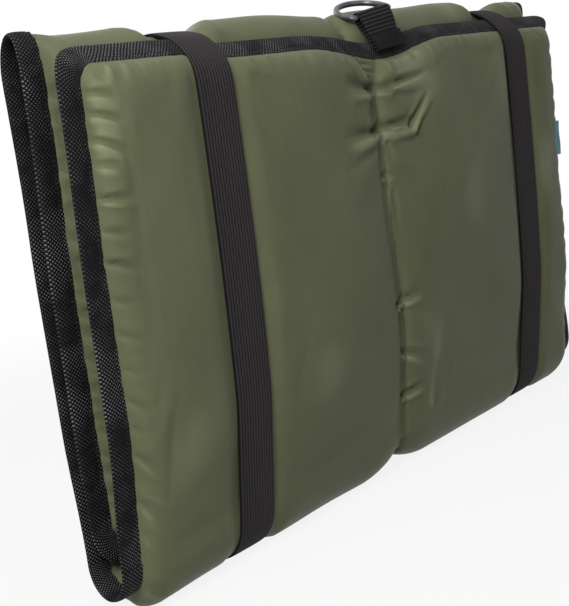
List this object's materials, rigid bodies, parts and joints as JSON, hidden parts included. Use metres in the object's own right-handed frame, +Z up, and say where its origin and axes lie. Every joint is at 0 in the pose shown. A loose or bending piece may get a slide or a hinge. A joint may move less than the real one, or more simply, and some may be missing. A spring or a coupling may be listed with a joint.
{
  "type": "unhooking mat",
  "caption": "Padded carp unhooking mat, letter-folded in three with taped edges, held shut by two elastic straps, with a D-ring on a webbing tab.",
  "frame": {"origin": "middle of the mat's foot, on the ground, halfway along its length and through its thickness", "axes": "+X along the folds, -Y the side that the front panel faces, +Z up"},
  "size_m": [0.6, 0.0782, 0.3696],
  "materials": {
    "outer_cloth": "satin",
    "lining_cloth": "satin",
    "foam": "matte",
    "binding_tape": "matte",
    "elastic": "matte",
    "webbing": "matte",
    "ring_metal": "satin",
    "ribbon": "satin"
  },
  "bodies": {
    "back_panel": {"back_panel_cover": "outer_cloth", "back_panel_lining": "lining_cloth", "back_panel_foam_left": "foam", "back_panel_foam_right": "foam", "back_panel_binding_left": "binding_tape", "back_panel_binding_right": "binding_tape"},
    "bottom_fold": {"bottom_fold_cover": "outer_cloth", "bottom_fold_lining": "lining_cloth", "bottom_fold_foam_left": "foam", "bottom_fold_foam_right": "foam", "bottom_fold_binding_left": "binding_tape", "bottom_fold_binding_right": "binding_tape"},
    "front_panel": {"front_panel_cover": "outer_cloth", "front_panel_lining": "lining_cloth", "front_panel_foam_left": "foam", "front_panel_foam_right": "foam", "front_panel_binding": "binding_tape", "side_ribbon": "ribbon"},
    "top_fold": {"top_fold_cover": "outer_cloth", "top_fold_lining": "lining_cloth", "top_fold_foam_left": "foam", "top_fold_foam_right": "foam", "top_fold_binding_left": "binding_tape", "top_fold_binding_right": "binding_tape"},
    "inner_panel": {"inner_panel_cover": "outer_cloth", "inner_panel_lining": "lining_cloth", "inner_panel_foam_left": "foam", "inner_panel_foam_right": "foam", "inner_panel_binding": "binding_tape"},
    "strap_left": {"strap_left": "elastic"},
    "strap_right": {"strap_right": "elastic"},
    "ring_tab": {"ring_tab": "webbing"},
    "d_ring": {"d_ring": "ring_metal"}
  },
  "joints": [
    {"name": "unfold", "type": "hinge", "parent": "back_panel", "child": "bottom_fold", "pos_m": [0, 0.02736, 0.0352], "axis": [1, 0, 0], "range_deg": [0, 90], "deforming": ["bottom_fold_cover", "bottom_fold_lining", "bottom_fold_foam_left", "bottom_fold_foam_right", "bottom_fold_binding_left", "bottom_fold_binding_right", "top_fold_cover", "top_fold_lining", "top_fold_foam_left", "top_fold_foam_right", "top_fold_binding_left", "top_fold_binding_right", "inner_panel_cover", "inner_panel_lining", "inner_panel_foam_left", "inner_panel_foam_right", "inner_panel_binding", "strap_left", "strap_right"]},
    {"name": "front_panel_fold", "type": "hinge", "parent": "bottom_fold", "child": "front_panel", "pos_m": [0, -0.02736, 0.0352], "axis": [1, 0, 0], "range_deg": [0, 90]},
    {"name": "top_fold_fold", "type": "hinge", "parent": "back_panel", "child": "top_fold", "pos_m": [0, 0.036, 0.3302], "axis": [-1, 0, 0], "range_deg": [0, 90]},
    {"name": "inner_panel_fold", "type": "hinge", "parent": "top_fold", "child": "inner_panel", "pos_m": [0, -0.012, 0.3302], "axis": [-1, 0, 0], "range_deg": [0, 90]},
    {"name": "strap_left_slide", "type": "slide", "parent": "back_panel", "child": "strap_left", "axis": [-1, 0, 0], "range_m": [0, 0.155]},
    {"name": "strap_right_slide", "type": "slide", "parent": "back_panel", "child": "strap_right", "axis": [1, 0, 0], "range_m": [0, 0.115]},
    {"name": "ring_tab_flap", "type": "hinge", "parent": "front_panel", "child": "ring_tab", "pos_m": [0.033, -0.0243, 0.3248], "axis": [0.996, 0, 0.0891], "range_deg": [0, 100]},
    {"name": "d_ring_swing", "type": "hinge", "parent": "ring_tab", "child": "d_ring", "pos_m": [0.0306, -0.0121, 0.3521], "axis": [0.9746, -0.1585, 0.1583], "range_deg": [0, 140]}
  ],
  "couplings": [
    {"joint": "front_panel_fold", "follows": "unfold", "ratio": 1},
    {"joint": "top_fold_fold", "follows": "unfold", "ratio": 1},
    {"joint": "inner_panel_fold", "follows": "unfold", "ratio": 1},
    {"joint": "strap_left_slide", "follows": "unfold", "m_per_rad": 0.0986},
    {"joint": "strap_right_slide", "follows": "unfold", "m_per_rad": 0.0732}
  ]
}
